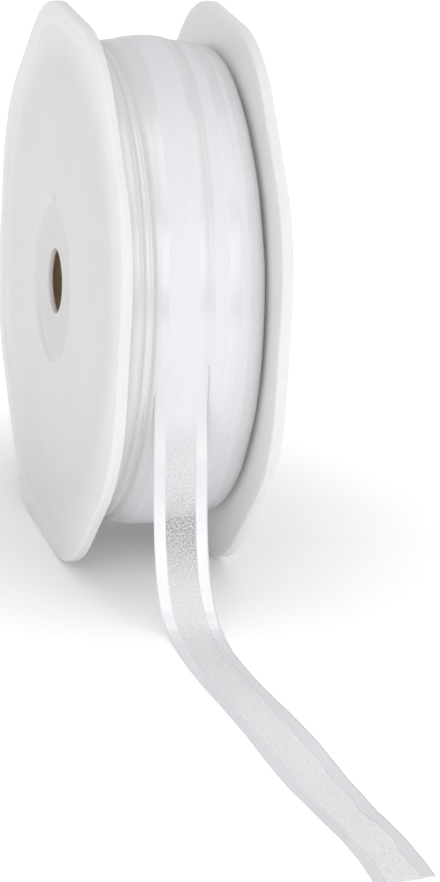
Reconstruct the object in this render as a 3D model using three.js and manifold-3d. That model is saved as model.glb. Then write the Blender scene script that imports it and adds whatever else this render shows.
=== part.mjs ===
// Reel of narrow organza ribbon standing on its edge, with its loose end let down to the surface.
// Millimetres, +Z up. The spindle axis runs along X and the loose end runs forward, along -Y.
// The origin lies on the surface, at the middle of the ground that the whole part covers.

import * as THREE from 'three';
import { mergeVertices } from 'three/addons/utils/BufferGeometryUtils.js';
import Module from 'manifold-3d';

const wasm = await Module();
wasm.setup();

// Outline of both end plates: a regular octagon with wide round corners
const SIDES = 8;
const PLATE_SIDE_HEIGHT = 50.8;      // from the spindle axis to each straight side
const PLATE_CORNER_RADIUS = 30.4;
const CORNER_STEPS = 6;

// Section of an end plate, each face given by its distance from the reel's middle plane
const PLATE_INNER_FACE = 13.6;
const PLATE_RIM_FACE = 15.7;
const PLATE_FIELD_FACE = 15.3;
const PLATE_EDGE_ROUND = 0.6;
const RIM_BAND_WIDTH = 4;
const DOME_RADIUS = 45.5;
const DOME_PEAK_FACE = 16.5;
const DOME_STEPS = 5;

// Hub of an end plate: a shallow round recess with the spindle hole in its thin floor
const HUB_RECESS_RADIUS = 15.3;
const HUB_RECESS_SLOPE = 0.9;
const HUB_FLOOR_FACE = 16.0;
const HUB_FLOOR_THICKNESS = 1.1;
const SPINDLE_HOLE_RADIUS = 6.1;
const ROUND_STEPS = 56;

// Core tube between the plates
const CORE_OUTER_RADIUS = 15;
const CORE_WALL = 2;
const SEAT_GAP = 0.35;

// Wound ribbon: its outer surface across the reel, from the left side to the right
const WINDING_STEPS = 96;
const WINDING_SECTION = [
  { aside: -13.1, radius: 42.6 },
  { aside: -12.6, radius: 43.9 },
  { aside: -10.4, radius: 44.4 },
  { aside: -9.9, radius: 43.7 },
  { aside: -9.3, radius: 44.5 },
  { aside: -8.4, radius: 44.4 },
  { aside: -7.7, radius: 45.6 },
  { aside: 2.4, radius: 45.7 },
  { aside: 3.1, radius: 45.2 },
  { aside: 7.7, radius: 44.8 },
  { aside: 8.4, radius: 44.3 },
  { aside: 12.1, radius: 43.7 },
  { aside: 12.9, radius: 42.4 },
];

// Loose end: the line followed by the middle of its inner face, from the winding to the cut end
const RIBBON_WIDTH = 10;
const RIBBON_THICKNESS = 1;
const RIBBON_STEPS = 84;
const RIBBON_ROUTE = [
  { forward: 44.7, height: 62.0, aside: -2.7 },
  { forward: 45.9, height: 55.6, aside: -2.65 },
  { forward: 46.1, height: 50.0, aside: -2.6 },
  { forward: 45.6, height: 44.0, aside: -2.2 },
  { forward: 44.65, height: 38.0, aside: -1.8 },
  { forward: 44.0, height: 31.0, aside: -1.4 },
  { forward: 43.7, height: 24.0, aside: -1.0 },
  { forward: 43.7, height: 17.5, aside: -0.65 },
  { forward: 44.3, height: 11.5, aside: -0.3 },
  { forward: 46.5, height: 5.8, aside: -0.1 },
  { forward: 50.8, height: 2.1, aside: 0 },
  { forward: 57.0, height: 0.4, aside: 0 },
  { forward: 66.0, height: 0, aside: -0.1 },
  { forward: 78.0, height: 0.3, aside: 0.1 },
  { forward: 90.0, height: 0.9, aside: 0.5 },
  { forward: 102.0, height: 1.1, aside: 1.1 },
  { forward: 114.0, height: 0.8, aside: 1.9 },
  { forward: 124.0, height: 0.2, aside: 2.9 },
  { forward: 132.0, height: 0, aside: 4.0 },
  { forward: 141.0, height: 0.6, aside: 4.5 },
  { forward: 150.0, height: 1.1, aside: 5.2 },
  { forward: 158.0, height: 0.7, aside: 5.9 },
  { forward: 166.2, height: 0.7, aside: 5.9 },
];

const AXLE_HEIGHT = PLATE_SIDE_HEIGHT;
const RIBBON_REACH = RIBBON_ROUTE[RIBBON_ROUTE.length - 1].forward;
const GROUND_MIDDLE = (RIBBON_REACH - PLATE_SIDE_HEIGHT) / 2;
const CUT_MARGIN = 1;

const plastic = { color: 0xdedddc, roughness: 0.42, metalness: 0 };
const cardboard = { color: 0x7a6450, roughness: 0.9, metalness: 0 };
const woundRibbon = { color: 0xe4e4ee, roughness: 0.5, metalness: 0 };
const looseRibbon = { color: 0xf1f0f6, roughness: 0.45, metalness: 0 };

// Closed surface with shared corners and without the empty triangles that a lathe leaves on its axis
function closedMesh(geometry) {
  const bare = geometry.clone();
  bare.deleteAttribute('normal');
  bare.deleteAttribute('uv');
  const merged = mergeVertices(bare, 1e-4);
  const corners = merged.index.array;
  const kept = [];
  for (let i = 0; i < corners.length; i += 3) {
    const triangle = [corners[i], corners[i + 1], corners[i + 2]];
    if (new Set(triangle).size === 3) {
      kept.push(...triangle);
    }
  }
  merged.setIndex(kept);
  return merged;
}

function toSolid(geometry) {
  const closed = closedMesh(geometry);
  return new wasm.Manifold(new wasm.Mesh({
    numProp: 3,
    vertProperties: new Float32Array(closed.attributes.position.array),
    triVerts: new Uint32Array(closed.index.array),
  }));
}

function fromSolid(solid) {
  const { vertProperties, triVerts } = solid.getMesh();
  const geometry = new THREE.BufferGeometry();
  geometry.setAttribute('position', new THREE.BufferAttribute(vertProperties, 3));
  geometry.setIndex(new THREE.BufferAttribute(triVerts, 1));
  geometry.computeVertexNormals();
  return geometry;
}

// Rounded octagon with a straight side at the bottom, drawn from corner to corner
function octagon(sideHeight, cornerRadius) {
  const shape = new THREE.Shape();
  const turn = (2 * Math.PI) / SIDES;
  const cornerCentre = (sideHeight - cornerRadius) / Math.cos(turn / 2);
  for (let corner = 0; corner < SIDES; corner += 1) {
    const middle = (corner + 0.5) * turn - Math.PI / 2;
    const x = cornerCentre * Math.cos(middle);
    const y = cornerCentre * Math.sin(middle);
    shape.absarc(x, y, cornerRadius, middle - turn / 2, middle + turn / 2, false);
  }
  shape.closePath();
  return shape;
}

function prism(shape, from, to, edgeRound = 0) {
  const slab = new THREE.ExtrudeGeometry(shape, {
    depth: to - from - 2 * edgeRound,
    curveSegments: CORNER_STEPS,
    bevelEnabled: edgeRound > 0,
    bevelThickness: edgeRound,
    bevelSize: edgeRound,
    bevelOffset: -edgeRound,
    bevelSegments: 2,
  });
  return slab.translate(0, 0, from + edgeRound);
}

// Solid of revolution about the plate's own Z, from a list of [radius, height] pairs
function turned(profile, steps) {
  const points = profile.map(([radius, height]) => new THREE.Vector2(radius, height));
  return new THREE.LatheGeometry(points, steps).rotateX(Math.PI / 2);
}

// One end plate, modelled with its outer face up along Z
function plateGeometry() {
  const outline = octagon(PLATE_SIDE_HEIGHT, PLATE_CORNER_RADIUS);
  const fieldOutline = octagon(PLATE_SIDE_HEIGHT - RIM_BAND_WIDTH, PLATE_CORNER_RADIUS - RIM_BAND_WIDTH);
  const blank = prism(outline, PLATE_INNER_FACE, PLATE_RIM_FACE, PLATE_EDGE_ROUND);
  const sinking = prism(fieldOutline, PLATE_FIELD_FACE, PLATE_RIM_FACE + CUT_MARGIN);
  const hubFloorBack = HUB_FLOOR_FACE - HUB_FLOOR_THICKNESS;
  const dome = [[0, hubFloorBack], [DOME_RADIUS, hubFloorBack]];
  for (let step = 0; step <= DOME_STEPS; step += 1) {
    const inward = step / DOME_STEPS;
    const radius = DOME_RADIUS + (HUB_RECESS_RADIUS - DOME_RADIUS) * inward;
    const rise = (DOME_PEAK_FACE - PLATE_FIELD_FACE) * Math.sin((inward * Math.PI) / 2);
    dome.push([radius, PLATE_FIELD_FACE + rise]);
  }
  dome.push([0, DOME_PEAK_FACE]);
  const recess = turned([
    [0, HUB_FLOOR_FACE],
    [HUB_RECESS_RADIUS - HUB_RECESS_SLOPE, HUB_FLOOR_FACE],
    [HUB_RECESS_RADIUS, DOME_PEAK_FACE],
    [HUB_RECESS_RADIUS, DOME_PEAK_FACE + CUT_MARGIN],
    [0, DOME_PEAK_FACE + CUT_MARGIN],
  ], ROUND_STEPS);
  const boreRadius = CORE_OUTER_RADIUS - CORE_WALL;
  const pocket = turned([
    [0, PLATE_INNER_FACE - CUT_MARGIN],
    [boreRadius, PLATE_INNER_FACE - CUT_MARGIN],
    [boreRadius, hubFloorBack],
    [0, hubFloorBack],
  ], ROUND_STEPS);
  const hole = turned([
    [0, PLATE_INNER_FACE - CUT_MARGIN],
    [SPINDLE_HOLE_RADIUS, PLATE_INNER_FACE - CUT_MARGIN],
    [SPINDLE_HOLE_RADIUS, DOME_PEAK_FACE + CUT_MARGIN],
    [0, DOME_PEAK_FACE + CUT_MARGIN],
  ], ROUND_STEPS);
  const solid = toSolid(blank)
    .subtract(toSolid(sinking))
    .add(toSolid(turned(dome, ROUND_STEPS)))
    .subtract(toSolid(recess))
    .subtract(toSolid(pocket))
    .subtract(toSolid(hole));
  return fromSolid(solid);
}

function coreGeometry() {
  const end = PLATE_INNER_FACE - SEAT_GAP;
  const inner = CORE_OUTER_RADIUS - CORE_WALL;
  return closedMesh(turned([
    [inner, -end],
    [CORE_OUTER_RADIUS, -end],
    [CORE_OUTER_RADIUS, end],
    [inner, end],
    [inner, -end],
  ], ROUND_STEPS));
}

function windingGeometry() {
  const bore = CORE_OUTER_RADIUS + SEAT_GAP;
  const left = WINDING_SECTION[0];
  const right = WINDING_SECTION[WINDING_SECTION.length - 1];
  const surface = WINDING_SECTION.map(({ aside, radius }) => [radius, aside]);
  return closedMesh(turned([
    [bore, left.aside],
    ...surface,
    [bore, right.aside],
    [bore, left.aside],
  ], WINDING_STEPS));
}

// The loose end is a flat strip bent along its route, and it never dips below the surface.
// Before it is bent, x is across it, y is its thickness and z its length.
function looseEndGeometry() {
  const route = new THREE.CatmullRomCurve3(RIBBON_ROUTE.map(({ forward, height, aside }) => (
    new THREE.Vector3(aside, -forward, height))));
  const strip = new THREE.BoxGeometry(RIBBON_WIDTH, RIBBON_THICKNESS, 1, 2, 1, RIBBON_STEPS);
  strip.translate(0, RIBBON_THICKNESS / 2, 0.5);
  const position = strip.attributes.position;
  const corner = new THREE.Vector3();
  for (let i = 0; i < position.count; i += 1) {
    corner.fromBufferAttribute(position, i);
    const point = route.getPointAt(corner.z);
    const ahead = route.getTangentAt(corner.z);
    const outward = ahead.clone().cross(new THREE.Vector3(1, 0, 0)).normalize();
    const across = outward.clone().cross(ahead);
    point.addScaledVector(across, corner.x).addScaledVector(outward, corner.y);
    position.setXYZ(i, point.x, point.y, Math.max(point.z, 0));
  }
  return closedMesh(strip);
}

function mesh(name, geometry, finish) {
  geometry.computeVertexNormals();
  const piece = new THREE.Mesh(geometry, new THREE.MeshStandardMaterial(finish));
  piece.name = name;
  return piece;
}

const reel = new THREE.Group();
reel.position.set(0, 0, AXLE_HEIGHT);

const plate = plateGeometry();
const plateLeft = mesh('plate_left', plate, plastic);
plateLeft.rotation.y = -Math.PI / 2;
const plateRight = mesh('plate_right', plate, plastic);
plateRight.rotation.y = Math.PI / 2;
const core = mesh('core', coreGeometry(), cardboard);
core.rotation.y = Math.PI / 2;
const winding = mesh('winding', windingGeometry(), woundRibbon);
winding.rotation.y = Math.PI / 2;
reel.add(plateLeft, plateRight, core, winding);

const part = new THREE.Group();
part.position.set(0, GROUND_MIDDLE, 0);
part.add(reel, mesh('loose_end', looseEndGeometry(), looseRibbon));

export default part;
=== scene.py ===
"""Reel of narrow organza ribbon with satin edges, standing on its edge, loose end let down.

Metres, +Z up. The spindle axis runs along X, and the loose end runs forward, along -Y.
"""

import math

import bmesh
import bpy
from mathutils import Matrix, Vector, geometry, noise


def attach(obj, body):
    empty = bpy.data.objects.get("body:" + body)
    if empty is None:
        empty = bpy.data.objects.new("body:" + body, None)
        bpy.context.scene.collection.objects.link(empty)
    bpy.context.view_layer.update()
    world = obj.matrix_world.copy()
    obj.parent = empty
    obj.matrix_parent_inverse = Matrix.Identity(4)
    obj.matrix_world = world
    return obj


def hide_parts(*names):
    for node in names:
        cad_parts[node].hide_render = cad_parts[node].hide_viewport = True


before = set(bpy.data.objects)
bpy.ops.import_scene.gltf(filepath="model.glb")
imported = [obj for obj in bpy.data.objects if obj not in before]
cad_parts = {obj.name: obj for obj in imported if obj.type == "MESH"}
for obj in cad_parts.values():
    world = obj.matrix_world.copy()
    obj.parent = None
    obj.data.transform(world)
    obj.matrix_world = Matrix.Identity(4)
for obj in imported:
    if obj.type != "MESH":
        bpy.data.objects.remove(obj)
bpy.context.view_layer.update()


# Camera
# A long lens in front of the reel, a little to its left and above it, and tipped
# slightly to one side.
MM = 0.001
CAMERA_PLACE = Vector((-193.07, -695.13, 272.17)) * MM
CAMERA_YAW = math.radians(-15.66)
CAMERA_DIP = math.radians(17.98)
CAMERA_ROLL = math.radians(3.55)
CAMERA_LENS = 175.4

camera_data = bpy.data.cameras.new("camera")
camera_data.lens = CAMERA_LENS
camera_data.sensor_width = 36.0
camera_data.clip_start = 0.01
camera_data.clip_end = 20.0
camera = bpy.data.objects.new("camera", camera_data)
camera.matrix_world = (
    Matrix.Translation(CAMERA_PLACE)
    @ Matrix.Rotation(CAMERA_YAW, 4, "Z")
    @ Matrix.Rotation(math.pi / 2 - CAMERA_DIP, 4, "X")
    @ Matrix.Rotation(CAMERA_ROLL, 4, "Z")
)
bpy.context.scene.collection.objects.link(camera)
bpy.context.scene.camera = camera
bpy.context.scene.view_settings.view_transform = "Standard"


# Floor and studio light
# A plain white table under two soft boxes either side of the camera, one overhead, and a
# white room that fills the shadows.
FLOOR_REACH = 4.0
FLOOR_GLOW_NEAR = 0.08
FLOOR_GLOW_FAR = 0.36
FLOOR_SHADE_MIDDLE = Vector((0.0, 57.7, 0.0)) * MM
FLOOR_SHADE_START = 20.0 * MM
FLOOR_SHADE_END = 110.0 * MM
ROOM_GLOW = 0.62
AIM = Vector((0.0, 50.0, 50.0)) * MM


def new_object(name, mesh):
    thing = bpy.data.objects.new(name, mesh)
    bpy.context.scene.collection.objects.link(thing)
    return thing


def new_material(name):
    material = bpy.data.materials.new(name)
    material.use_nodes = True
    tree = material.node_tree
    return material, tree, tree.nodes["Principled BSDF"]


def soft_box(name, azimuth, elevation, distance, width, height, watts):
    data = bpy.data.lights.new(name, "AREA")
    data.shape = "RECTANGLE"
    data.size = width
    data.size_y = height
    data.energy = watts
    lamp = bpy.data.objects.new(name, data)
    level = math.cos(math.radians(elevation))
    towards = Vector(
        (
            math.sin(math.radians(azimuth)) * level,
            -math.cos(math.radians(azimuth)) * level,
            math.sin(math.radians(elevation)),
        )
    )
    lamp.location = AIM + towards * distance
    lamp.rotation_euler = towards.to_track_quat("Z", "Y").to_euler()
    bpy.context.scene.collection.objects.link(lamp)


bm = bmesh.new()
bmesh.ops.create_grid(bm, x_segments=1, y_segments=1, size=FLOOR_REACH)
floor_mesh = bpy.data.meshes.new("floor")
bm.to_mesh(floor_mesh)
bm.free()
floor = new_object("floor", floor_mesh)
floor_material, tree, shader = new_material("white table")
shader.inputs["Base Color"].default_value = (0.93, 0.93, 0.93, 1.0)
shader.inputs["Roughness"].default_value = 0.9
shader.inputs["Emission Color"].default_value = (1.0, 1.0, 1.0, 1.0)

# The table glows faintly, so that it stays white all round, and the glow also lights the reel from
# below. It glows less round the reel: a painted shade under it.
place = tree.nodes.new("ShaderNodeTexCoord")
from_reel = tree.nodes.new("ShaderNodeVectorMath")
from_reel.operation = "DISTANCE"
from_reel.inputs[1].default_value = FLOOR_SHADE_MIDDLE
glow = tree.nodes.new("ShaderNodeMapRange")
glow.interpolation_type = "SMOOTHSTEP"
glow.inputs["From Min"].default_value = FLOOR_SHADE_START
glow.inputs["From Max"].default_value = FLOOR_SHADE_END
glow.inputs["To Min"].default_value = FLOOR_GLOW_NEAR
glow.inputs["To Max"].default_value = FLOOR_GLOW_FAR
tree.links.new(place.outputs["Object"], from_reel.inputs[0])
tree.links.new(from_reel.outputs["Value"], glow.inputs["Value"])
tree.links.new(glow.outputs["Result"], shader.inputs["Emission Strength"])
floor_mesh.materials.append(floor_material)

soft_box(
    "left light", azimuth=-28.0, elevation=25.0, distance=1.5, width=1.5, height=0.8, watts=3.8
)
soft_box(
    "right light", azimuth=26.0, elevation=25.0, distance=1.5, width=0.9, height=0.8, watts=2.4
)
soft_box(
    "top light", azimuth=10.0, elevation=72.0, distance=1.4, width=1.2, height=1.2, watts=3.9
)

world = bpy.data.worlds.new("white room")
bpy.context.scene.world = world
world.use_nodes = True
world.node_tree.nodes["Background"].inputs["Color"].default_value = (1.0, 1.0, 1.0, 1.0)
world.node_tree.nodes["Background"].inputs["Strength"].default_value = ROOM_GLOW


# End plates
# Two equal thin mouldings of white plastic. Each is an octagon with wide round corners,
# with a raised band along its rim, a face that swells towards the hub, and a shallow
# round recess at the hub with the spindle hole in its floor.
AXLE = Vector((0.0, 57.7, 50.8)) * MM
SIDE_REACH = 50.8 * MM
CORNER_RADIUS = 30.4 * MM
SIDES = 8
PLATE_STEPS = 240
PLATE_INNER_FACE = 13.6 * MM
PLATE_OUTER_SIDE = PLATE_INNER_FACE + 1.5 * MM
HOLE_RADIUS = 6.1 * MM
POCKET_RADIUS = 13.0 * MM
POCKET_FACE = 14.9 * MM
RECESS_RADIUS = 14.3 * MM
RECESS_FACE = 16.0 * MM
HUB_RADIUS = 15.3 * MM
DOME_FACE = 16.5 * MM
DOME_STEPS = 14
SWELL_START = HUB_RADIUS + 2.0 * MM
FIELD_RADIUS = 45.4 * MM
FIELD_FACE = 15.3 * MM
RIM_FACE = 15.7 * MM
SAME_PLACE = 1e-6
GATE_MARK_ANGLE = math.radians(9.6)
GATE_MARK_LENGTH = 1.5 * MM
GATE_MARK_WIDTH = 0.6 * MM
GATE_MARK_DEPTH = 0.9 * MM


def smooth_step(value, low, high):
    share = min(max((value - low) / (high - low), 0.0), 1.0)
    return share * share * (3.0 - 2.0 * share)


def mix(a, b, share):
    return a + (b - a) * share


def read_table(rows, key, column):
    """Value of a column at key, straight between the rows of a table sorted by its first column."""
    if key <= rows[0][0]:
        return rows[0][column]
    for before, after in zip(rows, rows[1:]):
        if key <= after[0]:
            share = (key - before[0]) / (after[0] - before[0])
            return mix(before[column], after[column], share)
    return rows[-1][column]


def plate_swell(angle):
    """How far the rounded octagon stands out beyond the circle inside it, at that angle."""
    part = 2.0 * math.pi / SIDES
    from_side = abs((angle + part / 2) % part - part / 2)
    straight = (SIDE_REACH - CORNER_RADIUS) * math.tan(part / 2)
    if math.tan(from_side) * SIDE_REACH < straight:
        return SIDE_REACH / math.cos(from_side) - SIDE_REACH
    centre = (SIDE_REACH - CORNER_RADIUS) / math.cos(part / 2)
    from_corner = part / 2 - from_side
    off_corner = centre * math.sin(from_corner)
    return (
        centre * math.cos(from_corner)
        + math.sqrt(CORNER_RADIUS**2 - off_corner**2)
        - SIDE_REACH
    )


# Each corner of the plate's section: its radius, its distance from the reel's middle
# plane, and how widely it is rounded. Those without rounding keep the flat faces flat.
plate_section = [
    (HOLE_RADIUS, POCKET_FACE, 0.1 * MM),
    (HOLE_RADIUS, RECESS_FACE, 0.3 * MM),
    (RECESS_RADIUS, RECESS_FACE, 0.35 * MM),
    (HUB_RADIUS, DOME_FACE, 0.3 * MM),
]
for step in range(1, DOME_STEPS + 1):
    inward = 1.0 - step / DOME_STEPS
    plate_section.append(
        (
            mix(FIELD_RADIUS, HUB_RADIUS, inward),
            FIELD_FACE + (DOME_FACE - FIELD_FACE) * math.sin(inward * math.pi / 2),
            0.0,
        )
    )
plate_section += [
    (46.5 * MM, 15.28 * MM, 0.35 * MM),
    (47.3 * MM, RIM_FACE, 0.35 * MM),
    (47.8 * MM, RIM_FACE, 0.0),
    (49.9 * MM, RIM_FACE, 0.0),
    (SIDE_REACH, RIM_FACE, 0.6 * MM),
    (SIDE_REACH, PLATE_INNER_FACE, 0.5 * MM),
    (50.0 * MM, PLATE_INNER_FACE, 0.0),
    (47.0 * MM, PLATE_INNER_FACE, 0.0),
    (30.0 * MM, PLATE_INNER_FACE, 0.0),
    (13.4 * MM, PLATE_INNER_FACE, 0.0),
    (POCKET_RADIUS, PLATE_INNER_FACE, 0.15 * MM),
    (POCKET_RADIUS, POCKET_FACE, 0.15 * MM),
]


def finish_mesh(bm, name):
    bmesh.ops.recalc_face_normals(bm, faces=bm.faces[:])
    mesh = bpy.data.meshes.new(name)
    for face in bm.faces:
        face.smooth = True
    bm.to_mesh(mesh)
    bm.free()
    return mesh


def end_plate(name, side, node):
    bm = bmesh.new()
    ring = [bm.verts.new((side * face, 0.0, radius)) for radius, face, _ in plate_section]
    edges = [bm.edges.new((ring[i - 1], ring[i])) for i in range(len(ring))]
    bmesh.ops.spin(
        bm,
        geom=ring + edges,
        cent=(0.0, 0.0, 0.0),
        axis=(1.0, 0.0, 0.0),
        angle=2.0 * math.pi,
        steps=PLATE_STEPS,
        use_merge=True,
    )
    for radius, face, rounding in plate_section:
        if rounding > 0.0:
            corner = [
                edge
                for edge in bm.edges
                if all(
                    abs(vert.co.yz.length - radius) < SAME_PLACE
                    and abs(side * vert.co.x - face) < SAME_PLACE
                    for vert in edge.verts
                )
            ]
            bmesh.ops.bevel(
                bm,
                geom=corner,
                offset=rounding,
                offset_type="WIDTH",
                segments=4,
                profile=0.5,
                affect="EDGES",
                material=-1,
            )
    for vert in bm.verts:
        out = vert.co.yz
        radius = out.length
        angle = math.atan2(out.x, out.y)
        share = smooth_step(radius, SWELL_START, FIELD_RADIUS)
        longer = (radius + plate_swell(angle) * share) / radius
        mark = math.hypot(
            (angle - GATE_MARK_ANGLE) * radius / GATE_MARK_LENGTH,
            (radius - HUB_RADIUS) / GATE_MARK_WIDTH,
        )
        if side * vert.co.x > PLATE_OUTER_SIDE:
            vert.co.x -= side * GATE_MARK_DEPTH * math.exp(-(mark**2))
        vert.co.y *= longer
        vert.co.z *= longer
        vert.co += AXLE
    plate = new_object(name, finish_mesh(bm, name))
    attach(plate, "root")
    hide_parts(node)
    return plate


plastic, tree, shader = new_material("white moulded plastic")
shader.inputs["Roughness"].default_value = 0.42
shader.inputs["Specular IOR Level"].default_value = 0.5
shader.inputs["Subsurface Weight"].default_value = 0.8
shader.inputs["Subsurface Radius"].default_value = (1.0, 1.0, 1.0)
shader.inputs["Subsurface Scale"].default_value = 5.5 * MM
place = tree.nodes.new("ShaderNodeTexCoord")
cloudy = tree.nodes.new("ShaderNodeTexNoise")
cloudy.inputs["Scale"].default_value = 45.0
cloudy.inputs["Detail"].default_value = 2.0
tint = tree.nodes.new("ShaderNodeValToRGB")
tint.color_ramp.elements[0].position = 0.3
tint.color_ramp.elements[0].color = (0.715, 0.706, 0.705, 1.0)
tint.color_ramp.elements[1].position = 0.7
tint.color_ramp.elements[1].color = (0.742, 0.735, 0.736, 1.0)
grain = tree.nodes.new("ShaderNodeTexNoise")
grain.inputs["Scale"].default_value = 1800.0
grain.inputs["Detail"].default_value = 1.0
bump = tree.nodes.new("ShaderNodeBump")
bump.inputs["Strength"].default_value = 0.08
bump.inputs["Distance"].default_value = 0.05 * MM
tree.links.new(place.outputs["Object"], cloudy.inputs["Vector"])
tree.links.new(place.outputs["Object"], grain.inputs["Vector"])
tree.links.new(cloudy.outputs["Fac"], tint.inputs["Fac"])
tree.links.new(tint.outputs["Color"], shader.inputs["Base Color"])
tree.links.new(grain.outputs["Fac"], bump.inputs["Height"])
tree.links.new(bump.outputs["Normal"], shader.inputs["Normal"])

for name, side, node in (
    ("plate_left_moulding", -1.0, "plate_left"),
    ("plate_right_moulding", 1.0, "plate_right"),
):
    end_plate(name, side, node).data.materials.append(plastic)


# Core tube
# A plain tube of dark brown board between the plates, wound from strip, though no seam is
# drawn on its wall. It is seen only through the spindle holes.
CORE_END = 13.25 * MM
CORE_BORE = 13.0 * MM
CORE_RADIUS = 15.0 * MM
CORE_STEPS = 96

bm = bmesh.new()
ring = [
    bm.verts.new(corner)
    for corner in (
        (-CORE_END, 0.0, CORE_BORE),
        (-CORE_END, 0.0, CORE_RADIUS),
        (CORE_END, 0.0, CORE_RADIUS),
        (CORE_END, 0.0, CORE_BORE),
    )
]
edges = [bm.edges.new((ring[i - 1], ring[i])) for i in range(len(ring))]
bmesh.ops.spin(
    bm,
    geom=ring + edges,
    cent=(0.0, 0.0, 0.0),
    axis=(1.0, 0.0, 0.0),
    angle=2.0 * math.pi,
    steps=CORE_STEPS,
    use_merge=True,
)
bmesh.ops.translate(bm, verts=bm.verts[:], vec=AXLE)
bmesh.ops.recalc_face_normals(bm, faces=bm.faces[:])
core_mesh = bpy.data.meshes.new("core_tube")
bm.to_mesh(core_mesh)
bm.free()
core_tube = new_object("core_tube", core_mesh)
board, tree, shader = new_material("brown board")
shader.inputs["Roughness"].default_value = 0.9
place = tree.nodes.new("ShaderNodeTexCoord")
fibres = tree.nodes.new("ShaderNodeTexNoise")
fibres.inputs["Scale"].default_value = 900.0
fibres.inputs["Detail"].default_value = 4.0
tint = tree.nodes.new("ShaderNodeValToRGB")
tint.color_ramp.elements[0].position = 0.25
tint.color_ramp.elements[0].color = (0.60, 0.46, 0.32, 1.0)
tint.color_ramp.elements[1].position = 0.75
tint.color_ramp.elements[1].color = (0.80, 0.64, 0.46, 1.0)
bump = tree.nodes.new("ShaderNodeBump")
bump.inputs["Strength"].default_value = 0.4
bump.inputs["Distance"].default_value = 0.1 * MM
tree.links.new(place.outputs["Object"], fibres.inputs["Vector"])
tree.links.new(fibres.outputs["Fac"], tint.inputs["Fac"])
tree.links.new(tint.outputs["Color"], shader.inputs["Base Color"])
tree.links.new(fibres.outputs["Fac"], bump.inputs["Height"])
tree.links.new(bump.outputs["Normal"], shader.inputs["Normal"])
core_mesh.materials.append(board)
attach(core_tube, "root")
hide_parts("core")


# Wound ribbon
# Some hundreds of turns of one 10 mm ribbon, organza in the middle and satin along both
# edges. The last turns lie in lanes: a crowned lane on top, three that show on its right,
# and the edges of older turns with a groove between them on its left.
RIBBON_WIDTH = 10.0 * MM
WINDING_BORE = 15.35 * MM
WINDING_STEPS = 300
EVEN_DEPTH = 1.0 * MM
SHOULDER_DROP = 0.5 * MM

# The top lane drifts to the right over the front and top, and back over the rear and
# underside: how far, and between which degrees above the front of the reel
LAY_REACH = 2.6 * MM
LAY_SEAM = -30.0
LAY_OUT = (5.0, 115.0)
LAY_BACK = (190.0, 330.0)

# Unevenness of the turns: how far, how long its waves are, and its seed
LANE_WAVER = (0.06 * MM, 9.0 * MM, 3.0)
EDGE_WAVER = (0.16 * MM, 11.0 * MM, 5.0)
RADIUS_WAVER = (0.10 * MM, 7.0 * MM, 1.0)
EDGE_WAVER_ASIDE = (9.0 * MM, 12.0 * MM)
LANE_WAVER_GAIN = 4.0

# Outer surface at the front of the reel, in millimetres: sideways place, radius, and how
# fully the place follows the top lane's lay
WINDING_SURFACE = [
    (-13.10, 42.60, 0.00),
    (-13.00, 43.25, 0.00),
    (-12.60, 43.80, 0.00),
    (-11.90, 44.15, 0.00),
    (-11.30, 44.32, 0.05),
    (-10.70, 44.38, 0.10),
    (-10.30, 44.30, 0.15),
    (-10.05, 44.04, 0.18),
    (-9.85, 43.94, 0.20),
    (-9.65, 44.08, 0.20),
    (-9.40, 44.36, 0.18),
    (-9.00, 44.46, 0.14),
    (-8.60, 44.40, 0.10),
    (-8.30, 44.22, 0.04),
    (-8.05, 44.18, 0.00),
    (-7.85, 44.38, 0.00),
    (-7.65, 44.75, 0.20),
    (-7.35, 45.02, 0.50),
    (-6.60, 45.22, 0.90),
    (-5.60, 45.42, 1.00),
    (-4.40, 45.60, 1.00),
    (-2.60, 45.75, 1.00),
    (-0.70, 45.72, 1.00),
    (0.80, 45.60, 1.00),
    (1.80, 45.42, 1.00),
    (2.50, 45.22, 1.00),
    (3.20, 45.02, 0.96),
    (4.00, 44.90, 0.90),
    (5.00, 44.81, 0.82),
    (6.20, 44.73, 0.75),
    (7.40, 44.63, 0.67),
    (8.20, 44.52, 0.62),
    (9.00, 44.40, 0.55),
    (10.00, 44.24, 0.46),
    (11.00, 44.06, 0.38),
    (11.70, 43.86, 0.32),
    (12.10, 43.62, 0.25),
    (12.50, 43.32, 0.12),
    (12.82, 42.95, 0.00),
    (12.92, 42.40, 0.00),
]

# Turns that show, from left to right, in millimetres: where each stops showing, its left
# edge, and how fully it follows the top lane's lay
WINDING_TURNS = [
    (-9.85, -12.10, 0.15),
    (-7.95, -9.75, 0.15),
    (3.10, -7.60, 1.00),
    (8.25, -1.80, 0.62),
    (11.85, 1.82, 0.31),
    (13.00, 2.90, 0.00),
]


def lay_at(angle):
    """Sideways drift of the top lane at an angle in degrees above the front of the reel."""
    if angle > LAY_SEAM:
        return LAY_REACH * smooth_step(angle, *LAY_OUT)
    return LAY_REACH * (1.0 - smooth_step(angle + 360.0, *LAY_BACK))


def front_angle(place):
    return math.degrees(math.atan2(place.z, -place.y))


def unevenness(place, reach, size, seed):
    return reach * noise.noise(place / size + Vector((seed, seed, seed)))


def settled(place):
    """Where a place on an evenly wound form comes to lie, with the lay and slackness of its turn."""
    follows = read_table(WINDING_SURFACE, place.x / MM, 2)
    at_right = smooth_step(place.x, *EDGE_WAVER_ASIDE)
    aside = lay_at(front_angle(place)) * follows
    aside += unevenness(place, *LANE_WAVER) * min(follows * LANE_WAVER_GAIN, 1.0)
    aside += unevenness(place, *EDGE_WAVER) * at_right
    wider = 1.0 + unevenness(place, *RADIUS_WAVER) / place.yz.length
    return Vector((place.x + aside, place.y * wider, place.z * wider))


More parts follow.
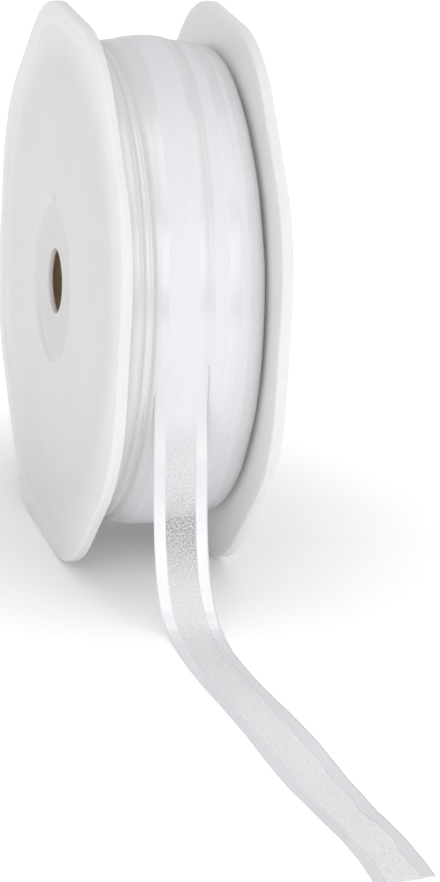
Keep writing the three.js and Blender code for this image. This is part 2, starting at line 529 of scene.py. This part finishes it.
bm = bmesh.new()
uv_layer = bm.loops.layers.uv.new("UVMap")
left_end, right_end = WINDING_SURFACE[0], WINDING_SURFACE[-1]
section = [
    (left_end[0] * MM, WINDING_BORE),
    (left_end[0] * MM, left_end[1] * MM - SHOULDER_DROP),
]
section += [(aside * MM, radius * MM) for aside, radius, _ in WINDING_SURFACE]
section += [
    (right_end[0] * MM, right_end[1] * MM - SHOULDER_DROP),
    (right_end[0] * MM, WINDING_BORE),
]
ring = [bm.verts.new((aside, 0.0, radius)) for aside, radius in section]
edges = [bm.edges.new((ring[i - 1], ring[i])) for i in range(len(ring))]
bmesh.ops.spin(
    bm,
    geom=ring + edges,
    cent=(0.0, 0.0, 0.0),
    axis=(1.0, 0.0, 0.0),
    angle=2.0 * math.pi,
    steps=WINDING_STEPS,
    use_merge=True,
)

# Each face is mapped on the turn that shows there
for face in bm.faces:
    middle = face.calc_center_median()
    _, left_edge, turn_follows = next(
        (turn for turn in WINDING_TURNS if middle.x < turn[0] * MM), WINDING_TURNS[-1]
    )
    angles = [front_angle(loop.vert.co) for loop in face.loops]
    for loop, angle in zip(face.loops, angles):
        lay = lay_at(angle)
        if max(angles) - angle > 180.0:
            angle += 360.0
        follows = read_table(WINDING_SURFACE, loop.vert.co.x / MM, 2)
        from_edge = loop.vert.co.x + lay * follows - left_edge * MM - lay * turn_follows
        along = math.radians(angle) * loop.vert.co.yz.length
        loop[uv_layer].uv = (from_edge / RIBBON_WIDTH, along / RIBBON_WIDTH)
for vert in bm.verts:
    if vert.co.yz.length > WINDING_BORE + EVEN_DEPTH:
        vert.co = settled(vert.co)
    vert.co += AXLE
wound_ribbon = new_object("wound_ribbon", finish_mesh(bm, "wound_ribbon"))
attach(wound_ribbon, "root")
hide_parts("winding")

# Cloth of the ribbon. U runs across it once, and V along it in ribbon widths. The satin
# edges are long warp floats, which shine across the ribbon. The middle is an open plain
# weave, which lets light through where "hangs_free" says that nothing backs it. There the
# ribbon also takes lighter copies of its colours, a painted light on the loose end.
THREADS_PER_WIDTH = 56.0
SHEER_ROUGHNESS = 0.60
SATIN_ROUGHNESS = 0.30
SHEER_COLOUR = (0.82, 0.817, 0.86)
SATIN_COLOUR = (0.72, 0.715, 0.735)
# Lighter copies of the two colours for the loose end: painted light on it, not another cloth
FREE_SHEER_PAINTED_LIGHT_COLOUR = (0.90, 0.895, 0.90)
FREE_SATIN_PAINTED_LIGHT_COLOUR = (0.84, 0.837, 0.88)

# In ribbon widths: the satin's border out from the middle, how far it wanders, and from
# which place along the ribbon the wander grows to that
SATIN_BORDER = (0.264, 0.296)
BORDER_WANDER = 0.20
WANDER_START = 35.5
WANDER_GROWTH = 3.0

# How threads and slubs close the weave, and how far slubs and the turns beneath show
SLUB_WEIGHT = 5.0
WEAVE_HEIGHTS = (2.4, 4.5)
WEAVE_COVER = (0.08, 0.84)
WEAVE_RELIEF = 0.5
SLUB_SHOWS = 0.5
BENEATH_SHOWS = 1.1
BENEATH_MIDDLE = 0.46

cloth, tree, shader = new_material("organza with satin edges")


def node(kind, **settings):
    made = tree.nodes.new("ShaderNode" + kind)
    for setting, value in settings.items():
        setattr(made, setting, value)
    return made


def plug(value, socket):
    if isinstance(value, (int, float)):
        socket.default_value = value
    else:
        tree.links.new(value, socket)


def maths(operation, *values):
    made = node("Math", operation=operation)
    for value, socket in zip(values, made.inputs):
        plug(value, socket)
    return made.outputs["Value"]


def graded(value, from_low, from_high, to_low, to_high):
    made = node("MapRange", interpolation_type="SMOOTHSTEP")
    for name, number in (
        ("Value", value),
        ("From Min", from_low),
        ("From Max", from_high),
        ("To Min", to_low),
        ("To Max", to_high),
    ):
        plug(number, made.inputs[name])
    return made.outputs["Result"]


def speckle(vector, scale, detail):
    """Noise with its own scale along each axis of the vector."""
    stretch = node("Mapping")
    stretch.inputs["Scale"].default_value = scale
    cloud = node("TexNoise")
    cloud.inputs["Scale"].default_value = 1.0
    cloud.inputs["Detail"].default_value = detail
    tree.links.new(vector, stretch.inputs["Vector"])
    tree.links.new(stretch.outputs["Vector"], cloud.inputs["Vector"])
    return cloud.outputs["Fac"]


def tinted(share, low, high):
    made = node("ValToRGB")
    made.color_ramp.elements[0].color = (*low, 1.0)
    made.color_ramp.elements[1].color = (*high, 1.0)
    tree.links.new(share, made.inputs["Fac"])
    return made.outputs["Color"]


uv = node("UVMap", uv_map="UVMap").outputs["UV"]
parts = node("SeparateXYZ")
tree.links.new(uv, parts.inputs["Vector"])
across, along = parts.outputs["X"], parts.outputs["Y"]
from_middle = maths("ABSOLUTE", maths("SUBTRACT", across, 0.5))

# The border of the satin wanders a little where the ribbon lies in waves on the table
wander = maths("SUBTRACT", speckle(uv, (1.5, 0.8, 1.0), 1.0), 0.5)
loosened = graded(along, WANDER_START, WANDER_START + WANDER_GROWTH, 0.0, BORDER_WANDER)
border_place = maths("MULTIPLY_ADD", wander, loosened, from_middle)
satin = graded(border_place, *SATIN_BORDER, 0.0, 1.0)

warp = maths("SINE", maths("MULTIPLY", across, 2.0 * math.pi * THREADS_PER_WIDTH))
weft = maths("SINE", maths("MULTIPLY", along, 2.0 * math.pi * THREADS_PER_WIDTH))
thread = maths("MAXIMUM", warp, weft)
slub = speckle(uv, (27.0, 30.0, 1.0), 2.0)
streak = speckle(uv, (70.0, 5.0, 1.0), 2.0)
rib = speckle(uv, (3.0, 45.0, 1.0), 2.0)
beneath = speckle(uv, (8.0, 0.35, 1.0), 2.0)

# Open places of the middle, where nothing backs it
weave_height = maths("ADD", thread, maths("MULTIPLY", slub, SLUB_WEIGHT))
cover = graded(weave_height, *WEAVE_HEIGHTS, *WEAVE_COVER)
unbacked_and_painted_light = node("Attribute", attribute_name="hangs_free").outputs["Fac"]
sheer_cover = maths("SUBTRACT", 1.0, maths("MULTIPLY", unbacked_and_painted_light, maths("SUBTRACT", 1.0, cover)))
alpha = maths("MAXIMUM", sheer_cover, satin)

# Satin edges of the turns beneath show faintly through the middle, as long soft streaks
from_beneath = maths("SUBTRACT", beneath, BENEATH_MIDDLE)
shines = maths("MULTIPLY_ADD", from_beneath, BENEATH_SHOWS, satin)
mottle = maths("MULTIPLY_ADD", maths("SUBTRACT", slub, 0.5), SLUB_SHOWS, shines)
# Where it hangs free the ribbon takes the lighter copies of its colours: painted light
colour = node("Mix", data_type="RGBA")
plug(unbacked_and_painted_light, colour.inputs["Factor"])
plug(tinted(mottle, SHEER_COLOUR, SATIN_COLOUR), colour.inputs["A"])
plug(tinted(mottle, FREE_SHEER_PAINTED_LIGHT_COLOUR, FREE_SATIN_PAINTED_LIGHT_COLOUR), colour.inputs["B"])
plug(colour.outputs["Result"], shader.inputs["Base Color"])
roughness = graded(shines, 0.0, 1.0, SHEER_ROUGHNESS, SATIN_ROUGHNESS)
plug(roughness, shader.inputs["Roughness"])
plug(alpha, shader.inputs["Alpha"])
shader.inputs["IOR"].default_value = 2.0
shader.inputs["Specular IOR Level"].default_value = 1.0
shader.inputs["Anisotropic"].default_value = 0.9
tangent = node("Tangent", direction_type="UV_MAP", uv_map="UVMap")
plug(tangent.outputs["Tangent"], shader.inputs["Tangent"])

weave = maths("MULTIPLY", thread, maths("SUBTRACT", 1.0, satin))
floats = maths("MULTIPLY", maths("ADD", streak, rib), satin)
relief = node("Bump")
relief.inputs["Strength"].default_value = 0.5
relief.inputs["Distance"].default_value = 0.04 * MM
plug(maths("ADD", maths("MULTIPLY", weave, WEAVE_RELIEF), floats), relief.inputs["Height"])
plug(relief.outputs["Normal"], shader.inputs["Normal"])
wound_ribbon.data.materials.append(cloth)


# Last turn and loose end
# The last turn of the ribbon goes once round the reel on top of the crowned lane. It
# leaves the winding at the front, hangs down between the plates, bends forward where it
# meets the table, and lies there in soft waves to its straight cut end.
ACROSS_STEPS = 26
ALONG_SPACING = 0.9 * MM
CURVE_STEPS = 16
SEARCH_MARGIN = 1.0 * MM
SEARCH_STEPS = 12

# The last turn runs down from its start to its end, in degrees above the front of the reel
TURN_START = 392.0
TURN_END = -9.0
TURN_STEP = 3.0
TOP_LANE_LEFT = -7.6 * MM
TOP_LANE_MIDDLE = TOP_LANE_LEFT + RIBBON_WIDTH / 2
TURN_LIFT = (0.03 * MM, 0.12 * MM)
LOOSENING = 0.35 * MM
LOOSENING_ANGLES = (-2.0, 9.0)
EASING_LENGTH = 6.0 * MM
FLATTENING_LENGTH = 14.0 * MM
CLOTH_THICKNESS = 0.07 * MM
EDGE_TUCK = 0.05 * MM
TUCKED_SHARE = (0.38, 0.5)
RIPPLE_HEIGHT = 0.11 * MM
RIPPLE_SIZE = 6.0 * MM
RIPPLE_SEED = 7.0

# Stretches of the loose end, by their distance from where it leaves the winding: where
# nothing backs it any more, and where it comes to lie on the table, which backs it partly.
# The same stretches set how far its colour is lifted by painted light.
OPENING_STRETCH = (4.0 * MM, 22.0 * MM)
LAYING_STRETCH = (20.0 * MM, 60.0 * MM)
TABLE_BACKING = 0.35

# Middle of the underside beyond the winding, in millimetres: forward of the spindle,
# above the table, and sideways
LOOSE_ROUTE = [
    (44.60, 38.0, -1.98),
    (44.50, 31.2, -1.63),
    (45.70, 24.8, -1.61),
    (46.80, 20.6, -1.65),
    (48.10, 16.45, -1.65),
    (49.60, 12.45, -1.59),
    (51.10, 8.45, -1.40),
    (52.50, 5.00, -0.93),
    (54.40, 2.25, -0.38),
    (57.20, 0.70, -0.02),
    (61.50, 0.30, -0.05),
    (66.0, 0.12, -0.10),
    (78.0, 0.40, 0.10),
    (90.0, 0.95, 0.50),
    (102.0, 1.15, 1.10),
    (114.0, 0.85, 1.90),
    (124.0, 0.30, 2.90),
    (132.0, 0.12, 4.00),
    (141.0, 0.65, 4.50),
    (150.0, 1.15, 5.20),
    (158.0, 0.80, 5.90),
    (166.1, 0.75, 5.90),
]

# How far the ribbon's right edge curls up from the table, in millimetres, by its distance
# forward of the spindle
RIGHT_EDGE_RISE = [
    (62.0, 0.0),
    (78.0, 0.3),
    (89.0, 0.5),
    (100.0, 1.1),
    (114.0, 1.7),
    (124.0, 1.4),
    (136.0, 0.7),
    (150.0, 0.5),
    (166.1, 0.7),
]


def lift_at(angle):
    """Height of the last turn over the winding, which grows as it comes over its own start."""
    return mix(TURN_LIFT[1], TURN_LIFT[0], (angle - TURN_END) / (TURN_START - TURN_END))


def on_winding(aside, angle, lift):
    """Place at that distance over the wound ribbon's surface, sideways place and angle."""
    lay = lay_at(angle)
    low = aside - LAY_REACH - SEARCH_MARGIN
    high = aside + SEARCH_MARGIN
    for _ in range(SEARCH_STEPS):
        middle = (low + high) / 2
        if middle + lay * read_table(WINDING_SURFACE, middle / MM, 2) < aside:
            low = middle
        else:
            high = middle
    radius = read_table(WINDING_SURFACE, low / MM, 1) * MM + lift
    front = math.radians(angle)
    return AXLE + settled(Vector((low, -math.cos(front) * radius, math.sin(front) * radius)))


def lane_crown(share):
    """Height of the crowned lane over its middle, at a share of the ribbon's width."""
    radii = [
        read_table(WINDING_SURFACE, (TOP_LANE_LEFT + place * RIBBON_WIDTH) / MM, 1)
        for place in (share, 0.5)
    ]
    return (radii[0] - radii[1]) * MM


def turn_point(angle):
    """Middle of the last turn's inner face at that angle."""
    place = (angle + 180.0) % 360.0 - 180.0
    loosening = LOOSENING * smooth_step(-angle, *LOOSENING_ANGLES)
    return on_winding(TOP_LANE_MIDDLE + lay_at(place) + loosening, place, lift_at(angle))


def smooth_line(points, spacing):
    """Points at an even spacing on a smooth curve through the given ones."""
    fine = [points[0]]
    ahead = points[1:] + [points[-1] * 2 - points[-2]]
    behind = [points[0] * 2 - points[1]] + points[:-1]
    for i in range(len(points) - 1):
        leaving = points[i] + (ahead[i] - behind[i]) / 6
        arriving = points[i + 1] - (ahead[i + 1] - behind[i + 1]) / 6
        curve = (points[i], leaving, arriving, points[i + 1], CURVE_STEPS)
        fine += geometry.interpolate_bezier(*curve)[1:]
    lengths = [0.0]
    for before, after in zip(fine, fine[1:]):
        lengths.append(lengths[-1] + (after - before).length)
    count = round(lengths[-1] / spacing)
    line = []
    i = 0
    for step in range(count + 1):
        wanted = lengths[-1] * step / count
        while i < len(fine) - 2 and lengths[i + 1] < wanted:
            i += 1
        share = (wanted - lengths[i]) / (lengths[i + 1] - lengths[i])
        line.append(fine[i].lerp(fine[i + 1], share))
    return line, lengths[-1]


turns = round((TURN_START - TURN_END) / TURN_STEP)
route = [turn_point(mix(TURN_START, TURN_END, i / turns)) for i in range(turns + 1)]
route += [
    Vector((aside * MM, AXLE.y - forward * MM, height * MM))
    for forward, height, aside in LOOSE_ROUTE
]
line, ribbon_length = smooth_line(route, ALONG_SPACING)
leaving_place = turn_point(TURN_END)
leaving_step = min(range(len(line)), key=lambda i: (line[i] - leaving_place).length)

bm = bmesh.new()
uv_layer = bm.loops.layers.uv.new("UVMap")
free_layer = bm.verts.layers.float.new("hangs_free")
bmesh.ops.create_grid(bm, x_segments=ACROSS_STEPS, y_segments=len(line) - 1, size=0.5)
flat = {vert: (vert.co.x + 0.5, vert.co.y + 0.5) for vert in bm.verts}
for face in bm.faces:
    for loop in face.loops:
        share, along = flat[loop.vert]
        loop[uv_layer].uv = (share, along * ribbon_length / RIBBON_WIDTH)
for vert, (share, along) in flat.items():
    step = round(along * (len(line) - 1))
    way = line[min(step + 1, len(line) - 1)] - line[max(step - 1, 0)]
    outward = way.cross(Vector((1.0, 0.0, 0.0))).normalized()
    sideways = outward.cross(way).normalized()
    freed = (step - leaving_step) * ribbon_length / (len(line) - 1)
    from_middle = (share - 0.5) * RIBBON_WIDTH
    crown = lane_crown(share) * (1.0 - smooth_step(freed, 0.0, FLATTENING_LENGTH))
    vert.co = line[step] + sideways * from_middle + outward * crown
    if freed < 0.0:
        angle = front_angle(line[step] - AXLE)
        wound = 1.0 - along * (len(line) - 1) / leaving_step
        lift = lift_at(mix(TURN_END, TURN_START, wound))
        lift = mix(lift, -EDGE_TUCK, smooth_step(abs(share - 0.5), *TUCKED_SHARE))
        held = on_winding(line[step].x + from_middle, angle, lift)
        vert.co = held.lerp(vert.co, smooth_step(freed, -EASING_LENGTH, 0.0))
    forward = AXLE.y - line[step].y
    laid = smooth_step(freed, *LAYING_STRETCH)
    ripple = RIPPLE_HEIGHT + unevenness(vert.co, RIPPLE_HEIGHT, RIPPLE_SIZE, RIPPLE_SEED)
    rise = read_table(RIGHT_EDGE_RISE, forward / MM, 1) * MM * share * share
    vert.co.z += (ripple + rise) * laid
    # The mask that opens the weave also sets where the colour is lifted by painted light
    vert[free_layer] = smooth_step(freed, *OPENING_STRETCH) * (1.0 - TABLE_BACKING * laid)
loose_ribbon = new_object("loose_ribbon", finish_mesh(bm, "loose_ribbon"))
loose_ribbon.data.materials.append(cloth)
thickness = loose_ribbon.modifiers.new("cloth thickness", "SOLIDIFY")
thickness.thickness = CLOTH_THICKNESS
thickness.offset = 1.0
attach(loose_ribbon, "root")
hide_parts("loose_end")
